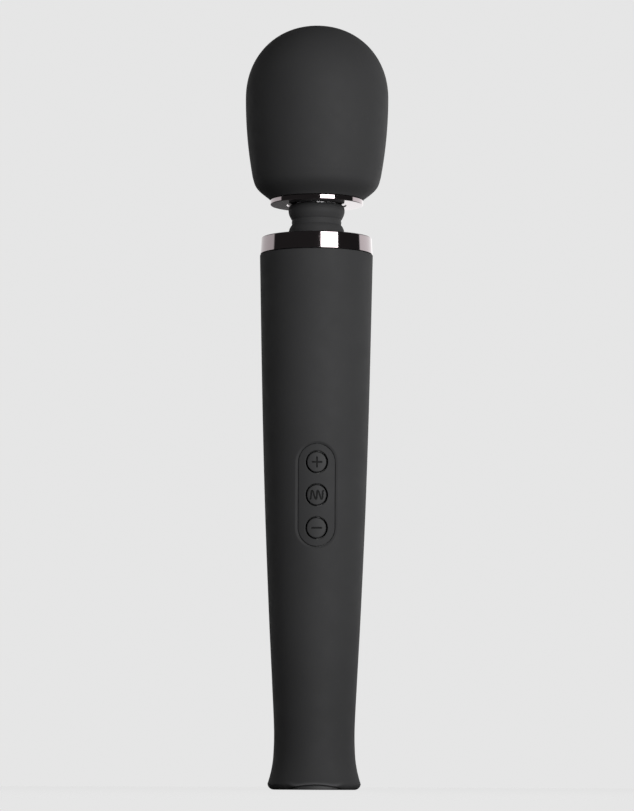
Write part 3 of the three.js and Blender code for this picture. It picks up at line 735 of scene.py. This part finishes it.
def make_control_pad():
    """The pad in three cells, each a set of columns from its key's hole out to its outline."""
    vertices, faces, found = [], [], {}

    def vertex(x, z, depth):
        key = (round(x, 4), round(z, 4), round(depth, 4))
        if key not in found:
            found[key] = len(vertices)
            vertices.append(on_handle(x, z, depth))
        return found[key]

    def surface(x, z):
        beyond = max(abs(z - PANEL_CENTRE) - PAD_STRAIGHT, 0)
        inset = max(PAD_HALF_WIDTH - math.hypot(x, beyond), 0)
        return PAD_DEPTH + rounded_edge(inset, EDGE_ROUND)

    for step in (-1, 0, 1):
        z = PANEL_CENTRE + step * KEY_PITCH
        low = PAD_LOW.z if step < 0 else z - KEY_PITCH / 2
        high = PAD_HIGH.z if step > 0 else z + KEY_PITCH / 2
        rings = []
        for x1, z1, outside in pad_cell(low, high):
            away = Vector((x1, z1 - z)).normalized()
            outer = Vector((x1, z1))
            hole = Vector((0, z)) + away * KEY_HOLE_RADIUS
            column = [vertex(hole.x, hole.y, PAD_WALL_DEPTH + PAD_DEPTH)]
            for distance in EDGE_NEAR:
                point = hole + away * distance
                column.append(vertex(point.x, point.y, PAD_DEPTH + rounded_edge(distance, EDGE_ROUND)))
            start = hole + away * EDGE_NEAR[-1]
            for share in RING_SHARES:
                point = start.lerp(outer, share)
                column.append(vertex(point.x, point.y, surface(point.x, point.y)))
            inwards = (start - outer).normalized()
            room = (start - outer).length * EDGE_SHARE / EDGE_NEAR[-1]
            squeeze = 1 if outside else min(1, room)
            for distance in reversed(EDGE_NEAR):
                point = outer + inwards * distance * squeeze
                column.append(vertex(point.x, point.y, surface(point.x, point.y)))
            edge = vertex(outer.x, outer.y, PAD_WALL_DEPTH + PAD_DEPTH) if outside else column[-1]
            column.append(edge)
            rings.append(column)
        for first, second in zip(rings, rings[1:] + rings[:1]):
            for a, b, c, d in zip(first, first[1:], second[1:], second):
                face = [v for k, v in enumerate((a, b, c, d)) if v != (a, b, c, d)[k - 1]]
                if len(set(face)) > 2:
                    faces.append(face)
    pad = make_piece("control_pad_plate", vertices, faces, body_silicone)
    thicken(pad, PAD_SHEET)
    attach(pad, "handle")
    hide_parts("control_pad")


KEY_EDGE = 0.42
KEY_DEPTH = 0.38
KEY_CROWN = 0.12
KEY_SKIRT_DEPTH = 1.2
KEY_GRID = 112
KEY_FLANGE_RADIUS = 5.5
KEY_FLANGE_FRONT = 4.4
KEY_FLANGE_BACK = 5.2
ICON_ARM = 2.05
WAVE_STEPS = 60
WAVE_REACH = 3.2
WAVE_LEAN = 0.25
WAVE_RISE = 1.75
ICON_HALF_STROKE = 0.34
ICON_DEPTH = 0.25
ICON_SLOPE = 0.07


def wave_line():
    """The middle key's symbol: two and a half periods of a round wave, leaning to the left."""
    points = []
    for k in range(WAVE_STEPS + 1):
        t = k / WAVE_STEPS
        swing = -math.cos(5 * math.pi * t)
        rise = swing * (1.4 - 0.4 * swing * swing)
        points.append(Vector((mix(-WAVE_REACH, WAVE_REACH, t) - WAVE_LEAN * rise, WAVE_RISE * rise)))
    return points


def icon_lines():
    across = [Vector((-ICON_ARM, 0)), Vector((ICON_ARM, 0))]
    upright = [Vector((0, -ICON_ARM)), Vector((0, ICON_ARM))]
    return {"plus": [across, upright], "minus": [across], "pattern": [wave_line()]}


def icon_drop(lines, x, z):
    """Depth of the engraved symbol at a point on a key."""
    nearest = math.inf
    point = Vector((x, z))
    for line in lines:
        for start, end in zip(line, line[1:]):
            along = end - start
            t = min(max((point - start).dot(along) / along.length_squared, 0), 1)
            nearest = min(nearest, (point - start - along * t).length)
    inner, outer = ICON_HALF_STROKE - ICON_SLOPE, ICON_HALF_STROKE + ICON_SLOPE
    return ICON_DEPTH * (1 - smoothstep(inner, outer, nearest))


def make_key(name, z, lines):
    """One key: a crowned face with its symbol sunk in, a rounded edge and a straight side."""
    vertices, faces = [], []
    flat = KEY_RADIUS - KEY_EDGE

    def face_depth(x, dz):
        return KEY_DEPTH + KEY_CROWN * (x * x + dz * dz) / KEY_RADIUS ** 2

    grid, sunk = [], set()
    for j in range(KEY_GRID + 1):
        grid.append([])
        for i in range(KEY_GRID + 1):
            u, v = 2 * i / KEY_GRID - 1, 2 * j / KEY_GRID - 1
            x = flat * u * math.sqrt(1 - v * v / 2)
            dz = flat * v * math.sqrt(1 - u * u / 2)
            grid[-1].append(len(vertices))
            drop = icon_drop(lines, x, dz)
            if drop > ICON_DEPTH / 2:
                sunk.add(len(vertices))
            vertices.append(on_handle(x, z + dz, face_depth(x, dz) + drop))
    for low, high in zip(grid, grid[1:]):
        for i in range(KEY_GRID):
            faces.append([low[i], low[i + 1], high[i + 1], high[i]])
    rim = grid[0][:-1] + [row[-1] for row in grid[:-1]]
    rim += grid[-1][:0:-1] + [row[0] for row in grid[:0:-1]]
    rings = [rim]
    ways = [Vector((vertices[k][0], vertices[k][2] - z)).normalized() for k in rim]
    bend = [math.pi / 2 * k / 7 for k in range(1, 8)]
    edge = [(flat + KEY_EDGE * math.sin(a), KEY_EDGE * (1 - math.cos(a))) for a in bend]
    skirt = [(KEY_RADIUS, KEY_SKIRT_DEPTH), (KEY_RADIUS, KEY_FLANGE_FRONT)]
    flange = [(KEY_FLANGE_RADIUS, KEY_FLANGE_FRONT), (KEY_FLANGE_RADIUS, KEY_FLANGE_BACK)]
    for radius, drop in edge + skirt + flange:
        ring = []
        for way in ways:
            x, dz = way * radius
            ring.append(len(vertices))
            vertices.append(on_handle(x, z + dz, face_depth(x, dz) + drop))
        rings.append(ring)
    join_rings(rings, faces)
    faces.append(rings[-1][::-1])
    key = make_piece(f"{name}_key_cap", vertices, faces, key_silicone)
    key.data.materials.append(key_symbol)
    for polygon in key.data.polygons:
        if sunk.issuperset(polygon.vertices):
            polygon.material_index = 1
    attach(key, f"{name}_button")
    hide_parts(f"{name}_key")


make_control_pad()
for key_name, key_lines in icon_lines().items():
    key_low, key_high = node_box(f"{key_name}_key")
    make_key(key_name, (key_low.z + key_high.z) / 2, key_lines)

# ---------------------------------------------------------------- base cap and charging socket

CAP_RADIUS = 15.2
CAP_HOLE_RADIUS = 4.9
CAP_TOP = 2.9
CAP_EDGE_HEIGHT = 1.05
TONGUE_GAP = 0.05
TONGUE_INSET = 0.02
SOCKET_RADIUS = 4.6
SOCKET_FLANGE = (3.2, 4.8)
SOCKET_BORE_RADIUS = 1.8
SOCKET_BORE_TOP = 11
PIN_RADIUS = 0.55
PIN_HOLE_RADIUS = 0.75


def make_base_cap():
    """The hard cap in the foot, with the tongue that shows through the front arch."""
    sides = 288
    vertices, faces, columns = [], [], []
    for i in range(sides):
        angle = 2 * math.pi * i / sides
        lift = lift_at(angle)
        out = smoothstep(0, 0.05, lift)
        radius = mix(CAP_RADIUS, handle_radius(lift) - arch_edge(lift)[1] - TONGUE_INSET, out)
        height = max(mix(CAP_EDGE_HEIGHT, lift - TONGUE_GAP, out), 0.03)
        soft = min(0.2, height / 3)
        hole = CAP_HOLE_RADIUS
        outline = [(hole, CAP_TOP), (hole, 0.3), (hole + 0.1, 0.08), (hole + 0.3, 0)]
        outline += [(mix(hole + 0.3, radius - soft, k / 6), 0) for k in range(1, 6)]
        for k in range(5):
            a = math.pi / 2 * k / 4
            outline.append((radius - soft + soft * math.sin(a), soft * (1 - math.cos(a))))
        back = CAP_RADIUS - 0.2
        outline += [(radius, mix(soft, height, 0.5)), (radius, height), (back, height), (back, CAP_TOP)]
        columns.append(list(range(len(vertices), len(vertices) + len(outline))))
        vertices += [(r * math.sin(angle), -r * math.cos(angle), z) for r, z in outline]
    for first, second in zip(columns, columns[1:] + columns[:1]):
        for k in range(len(first)):
            m = (k + 1) % len(first)
            faces.append([first[k], second[k], second[m], first[m]])
    cap = make_piece("base_cap_plate", vertices, faces, cap_plastic)
    weighted_normals(cap)
    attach(cap, "handle")
    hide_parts("base_cap")


def make_charge_socket():
    low, high = node_box("charge_jack")
    flange_low, flange_high = SOCKET_FLANGE
    outline = filleted([
        (SOCKET_BORE_RADIUS, low.z, 0.25), (SOCKET_RADIUS, low.z, 0.35),
        (SOCKET_RADIUS, flange_low, 0.1), (high.x, flange_low, 0.2),
        (high.x, flange_high, 0.2), (SOCKET_RADIUS, flange_high, 0.1),
        (SOCKET_RADIUS, high.z, 0.3), (PIN_HOLE_RADIUS, high.z, 0.1),
        (PIN_HOLE_RADIUS, SOCKET_BORE_TOP, 0.1), (SOCKET_BORE_RADIUS, SOCKET_BORE_TOP, 0.1),
    ], closed=True, steps=4)
    socket = spin("charge_socket", outline, jack_plastic, sides=96)
    weighted_normals(socket)
    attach(socket, "handle")
    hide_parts("charge_jack")

    low, high = node_box("jack_pin")
    outline = filleted([
        (0, low.z, 0), (PIN_RADIUS, low.z, 0.25), (PIN_RADIUS, high.z, 0.1), (0, high.z, 0),
    ], closed=False, steps=4)
    pin = spin("socket_pin", outline, slot_materials["brass"], closed=False, sides=48)
    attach(pin, "handle")
    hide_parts("jack_pin")


make_base_cap()
make_charge_socket()

# ---------------------------------------------------------------- collar ring and trim disc


COLLAR_TAPER = 0.4
COLLAR_WALL = 1.2
COLLAR_ROOF = 1.5
COLLAR_HOLE_RADIUS = 12.6
DISC_HOLE_RADIUS = 9.4
DISC_RECESS = 0.4
DISC_RECESS_RADII = (12.7, 13.1)


def make_collar_ring():
    low, high = node_box("collar_ring")
    top_radius = high.x - COLLAR_TAPER
    under = high.z - COLLAR_ROOF
    outline = filleted([
        (high.x - COLLAR_WALL, low.z, 0.1), (high.x, low.z, 0.2),
        (top_radius, high.z, 0.45), (COLLAR_HOLE_RADIUS, high.z, 0.3),
        (COLLAR_HOLE_RADIUS, under, 0.1), (top_radius - COLLAR_WALL, under, 0.1),
    ], closed=True, steps=6)
    ring = spin("collar_ring_chrome", outline, chrome, sides=256)
    weighted_normals(ring)
    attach(ring, "handle")
    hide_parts("collar_ring")


def make_trim_disc():
    """The thin disc, with a shallow recess round the neck in its underside."""
    low, high = node_box("trim_disc")
    recess = low.z + DISC_RECESS
    inner, outer = DISC_RECESS_RADII
    outline = filleted([
        (DISC_HOLE_RADIUS, recess, 0.1), (inner, recess, 0.1), (outer, low.z, 0.15),
        (high.x, low.z + 0.05, 0.4), (high.x, high.z, 0.3), (DISC_HOLE_RADIUS, high.z, 0.1),
    ], closed=True, steps=6)
    disc = spin("trim_disc_chrome", outline, chrome, sides=256)
    weighted_normals(disc)
    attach(disc, "head")
    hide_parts("trim_disc")


make_collar_ring()
make_trim_disc()

# ---------------------------------------------------------------- neck

PIVOT = frame["joints"][0]["pos_m"][2] / MM
NECK_INNER = 9.5
WAIST_RADIUS, WAIST_HEIGHT = 10.75, 247.75
RIB_HEIGHT = 0.15
RIB_REACH = 1.7
SPRING_TURNS = 2.4
SPRING_PITCH = 2.0
SPRING_RADIUS = 7.5
SPRING_WIRE_RADIUS = 0.6
SPRING_STEPS = 60
LEAD_RADIUS = 0.68
LEAD_STRETCH = (12, 8)


def neck_halves(points, start, end):
    """Points up through the neck cut at the pivot, each half with its two bodies and blend heights."""
    lower = [p for p in points if p[-1] <= PIVOT + 0.01]
    upper = [p for p in points if p[-1] >= PIVOT - 0.01]
    return (
        ("lower", lower, "handle", "neck_mid", start, PIVOT),
        ("upper", upper, "neck_mid", "head", PIVOT, end),
    )


def neck_outline():
    """The sleeve's outside, going up: a full roll above and below a narrow waist with a faint rib."""
    low, high = node_box("neck_sleeve")
    points = [
        (12.3, low.z), (12.3, 240.6), (12.32, 242.4), (12.25, 243.5), (12.05, 244.4), (11.77, 245.2),
        (11.42, 245.9), (11.05, 246.6), (10.8, 247.2), (WAIST_RADIUS, WAIST_HEIGHT), (10.84, PIVOT),
        (11.05, 249.05), (11.4, 249.8), (11.8, 250.65), (12.15, 251.6), (12.33, 252.9), (12.2, 254.1),
        (11.85, 254.95), (11.4, high.z),
    ]
    outline = []
    for r, z in curve_through(points, 7):
        if abs(z - WAIST_HEIGHT) < RIB_REACH:
            r += RIB_HEIGHT * math.cos(1.5 * math.pi * (z - WAIST_HEIGHT) / RIB_REACH)
        outline.append((r, z))
    return outline


def make_neck():
    collar_top = node_box("collar_ring")[1].z
    disc_bottom = node_box("trim_disc")[0].z
    for name, side, below, above, start, end in neck_halves(neck_outline(), collar_top, disc_bottom):
        inner = [(NECK_INNER, mix(side[-1][1], side[0][1], k / 12)) for k in range(13)]
        sleeve = spin(f"neck_sleeve_{name}", side + inner, body_silicone, sides=160)
        sharpen(sleeve)
        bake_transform(sleeve)
        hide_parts("neck_sleeve")

        # the spring's half between the two fittings
        first, last = (-0.5, 0) if name == "lower" else (0, 0.5)
        coil = []
        for k in range(SPRING_STEPS + 1):
            turn = SPRING_TURNS * mix(first, last, k / SPRING_STEPS)
            a = 2 * math.pi * (turn + SPRING_TURNS / 2)
            x, y = SPRING_RADIUS * math.cos(a), SPRING_RADIUS * math.sin(a)
            coil.append(Vector((x, y, PIVOT + turn * SPRING_PITCH)))
        spring = tube(f"neck_spring_{name}", coil, SPRING_WIRE_RADIUS, spring_steel, sides=12)
        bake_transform(spring)
        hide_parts("neck_spring")


def make_motor_leads():
    """The two leads through the neck, each in a half below the pivot and a half above it."""
    leads = (("red", 1, 5.8, red_insulation), ("black", -1, 3.0, black_insulation))
    for color, side, x, material in leads:
        route = curve_through([
            (x, -7.4, 162.4), (x, -6.8, 168), (side * 2.4, -2, 188), (side * 1.5, 0, 212),
            (side * 1.5, 0, 235), (side * 1.5, 0, PIVOT), (side * 1.9, 0, 257), (side * 4.4, 0, 263.6),
        ], 8)
        low, high = PIVOT - LEAD_STRETCH[0], PIVOT + LEAD_STRETCH[1]
        for name, path, below, above, start, end in neck_halves(route, low, high):
            lead = tube(f"motor_lead_{color}_{name}", path, LEAD_RADIUS, material, sides=14)
            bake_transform(lead)
            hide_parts(f"motor_lead_{color}")


make_neck()
make_motor_leads()

# ---------------------------------------------------------------- head cover

DOME_POWER = 2.1
HEAD_TAPER = 0.00262
HEAD_EQUATOR = 302.9
COVER_WALL = 2.4
SIDE_FOOT = 10.9
SIDE_ROWS = 26
DOME_ROWS = 56


def head_outside():
    """The cover's outside from its foot to its apex, going up."""
    low, high = node_box("head_cover")
    radius = high.x
    height = high.z - HEAD_EQUATOR

    def side_radius(z):
        return radius - HEAD_TAPER * (HEAD_EQUATOR - z) ** 2

    z = low.z
    lip = filleted([(17.0, z, 0), (20.45, z, 0.3), (21.3, z + 0.85, 0)], closed=False, steps=6)
    shoulder = curve_through([
        (21.3, z + 0.85), (22.5, z + 1.78), (23.68, z + 2.7), (24.76, z + 3.6), (25.68, z + 4.5),
        (26.42, z + 5.4), (27.0, z + 6.35), (27.44, z + 7.4), (27.77, z + 8.5),
        (side_radius(z + 10.2), z + 10.2),
    ], 5)[1:]
    levels = [mix(z + SIDE_FOOT, HEAD_EQUATOR, k / SIDE_ROWS) for k in range(SIDE_ROWS)]
    side = [(side_radius(level), level) for level in levels]
    dome = []
    for k in range(DOME_ROWS):
        a = math.pi / 2 * k / DOME_ROWS
        share = math.cos(a) ** (2 / DOME_POWER), math.sin(a) ** (2 / DOME_POWER)
        dome.append((radius * share[0], HEAD_EQUATOR + height * share[1]))
    return lip + [tuple(p) for p in shoulder] + side + dome + [(0, high.z)]


def make_head_cover():
    cover = spin("head_cover_cap", head_outside(), body_silicone, closed=False, sides=224)
    thicken(cover, COVER_WALL)
    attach(cover, "head")
    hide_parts("head_cover")


make_head_cover()

# ---------------------------------------------------------------- carried-over CAD nodes


def dress_cad_nodes():
    slots = {row["node"]: row["material_slot"] for row in frame["record"]["subparts"]}
    for name, node in frame["nodes"].items():
        if node.hide_render:
            continue
        node.data.materials.clear()
        node.data.materials.append(slot_materials[slots[name]])


dress_cad_nodes()

# ---------------------------------------------------------------- studio

BACKDROP = 0.79
BACKDROP_MIDDLE = 181.3
BACKDROP_EDGE = (0.14, 0.22)
LEFT_LEVEL = 1.0
RIGHT_LEVEL = 1.55
DARK_LEFT = 0.032
DARK_RIGHT = 0.03
SOFTBOX_AIM = 200
# the backdrop's level by the height of a direction: from, to, level at the first, level at the second
OVERHEAD = (0.1, 0.5, 1, 0.1)
UNDERFOOT = (-0.5, -0.25, 0.3, 1)
UNDER_LEFT_SHARE = 0.06
FLOOR_RADIUS = 1000
FLOOR_COLOR = (0.05, 0.05, 0.05)
FLOOR_GLOW = 0.755
FLOOR_BOUNCE = 0.03
FLOOR_FADE = (0.3, 0.9)


def make_floor():
    """A pale floor that fades out into the background and throws little light back up."""
    s = Shader("studio_floor", FLOOR_COLOR, 0.9)
    s.set("Specular IOR Level", 0.0)
    s.set("Emission Color", (1, 1, 1, 1))
    seen = s.add("ShaderNodeLightPath").outputs["Is Camera Ray"]
    s.link(s.ranged(seen, 0, 1, FLOOR_BOUNCE, FLOOR_GLOW), s.shader.inputs["Emission Strength"])
    length = s.add("ShaderNodeVectorMath", operation="LENGTH")
    s.link(s.place, length.inputs[0])
    fade = s.ranged(length.outputs["Value"], *FLOOR_FADE, 1, 0)
    s.link(fade, s.shader.inputs["Alpha"])
    rings, sides = 12, 96
    vertices = [(0, 0, 0)]
    faces = []
    for k in range(1, rings + 1):
        for i in range(sides):
            a = 2 * math.pi * i / sides
            r = FLOOR_RADIUS * k / rings
            vertices.append((r * math.sin(a), -r * math.cos(a), 0))
    for i in range(sides):
        j = (i + 1) % sides
        faces.append([0, 1 + i, 1 + j])
        for k in range(rings - 1):
            a, b = 1 + k * sides, 1 + (k + 1) * sides
            faces.append([a + i, b + i, b + j, a + j])
    make_piece("studio_floor", vertices, faces, s.material)


def make_world():
    """An even pale background to look at, and a white backdrop and a dark room to light by."""
    world = bpy.data.worlds.new("studio")
    bpy.context.scene.world = world
    world.use_nodes = True
    tree = world.node_tree
    tree.nodes.clear()

    def add(kind, **settings):
        node = tree.nodes.new(kind)
        for key, value in settings.items():
            setattr(node, key, value)
        return node

    def ramp(value, low, high, new_low, new_high):
        node = add("ShaderNodeMapRange", interpolation_type="SMOOTHSTEP")
        for socket, number in zip(RANGE_SOCKETS, (low, high, new_low, new_high)):
            node.inputs[socket].default_value = number
        tree.links.new(value, node.inputs["Value"])
        return node.outputs["Result"]

    def maths(operation, first, second):
        node = add("ShaderNodeMath", operation=operation)
        tree.links.new(first, node.inputs[0])
        tree.links.new(second, node.inputs[1])
        return node.outputs[0]

    def times(first, *others):
        for other in others:
            first = maths("MULTIPLY", first, other)
        return first

    def azimuth_dot(degrees):
        """How near a direction is to this azimuth, to the right of the camera, as a dot product."""
        node = add("ShaderNodeVectorMath", operation="DOT_PRODUCT")
        turn = math.radians(degrees) + CAMERA_TURN
        node.inputs[1].default_value = (math.sin(turn), -math.cos(turn), 0)
        tree.links.new(way, node.inputs[0])
        return node.outputs["Value"]

    way = add("ShaderNodeTexCoord").outputs["Generated"]
    axes = add("ShaderNodeSeparateXYZ")
    tree.links.new(way, axes.inputs[0])
    behind = ramp(azimuth_dot(BACKDROP_MIDDLE), *BACKDROP_EDGE, 0, 1)
    to_right = azimuth_dot(90)
    side_level = ramp(to_right, -0.2, 0.2, LEFT_LEVEL, RIGHT_LEVEL)
    up = axes.outputs["Z"]
    height = times(ramp(up, *OVERHEAD), ramp(up, *UNDERFOOT))
    under_left = times(ramp(up, -0.1, -0.05, 1, 0), ramp(to_right, -0.004, 0.008, 1, 0))
    shade = ramp(under_left, 0, 1, 1, UNDER_LEFT_SHARE)
    dark_room = ramp(to_right, -0.5, 0.5, DARK_LEFT, DARK_RIGHT)
    lit = maths("ADD", dark_room, times(behind, side_level, height, shade))
    light = add("ShaderNodeBackground")
    tree.links.new(lit, light.inputs["Color"])
    seen = add("ShaderNodeBackground")
    seen.inputs["Color"].default_value = (BACKDROP, BACKDROP, BACKDROP, 1)
    path = add("ShaderNodeLightPath")
    choose = add("ShaderNodeMixShader")
    tree.links.new(path.outputs["Is Camera Ray"], choose.inputs[0])
    tree.links.new(light.outputs[0], choose.inputs[1])
    tree.links.new(seen.outputs[0], choose.inputs[2])
    tree.links.new(choose.outputs[0], add("ShaderNodeOutputWorld").inputs["Surface"])


def add_softbox(name, azimuth, elevation, distance, width, height, power):
    """A rectangular light aimed at the handle's upper half. Azimuth is to the right of the camera."""
    data = bpy.data.lights.new(name, "AREA")
    data.shape = "RECTANGLE"
    data.size, data.size_y = width, height
    data.energy = power
    light = bpy.data.objects.new(name, data)
    bpy.context.scene.collection.objects.link(light)
    a = math.radians(azimuth) + CAMERA_TURN
    e = math.radians(elevation)
    way = Vector((math.sin(a) * math.cos(e), -math.cos(a) * math.cos(e), math.sin(e)))
    light.location = Vector((0, 0, SOFTBOX_AIM)) * MM + way * distance
    light.rotation_mode = "QUATERNION"
    light.rotation_quaternion = way.to_track_quat("Z", "Y")


make_floor()
make_world()
add_softbox("key_softbox", azimuth=27, elevation=5, distance=1.3, width=0.82, height=0.95, power=19)
bpy.context.scene.view_settings.view_transform = "Standard"
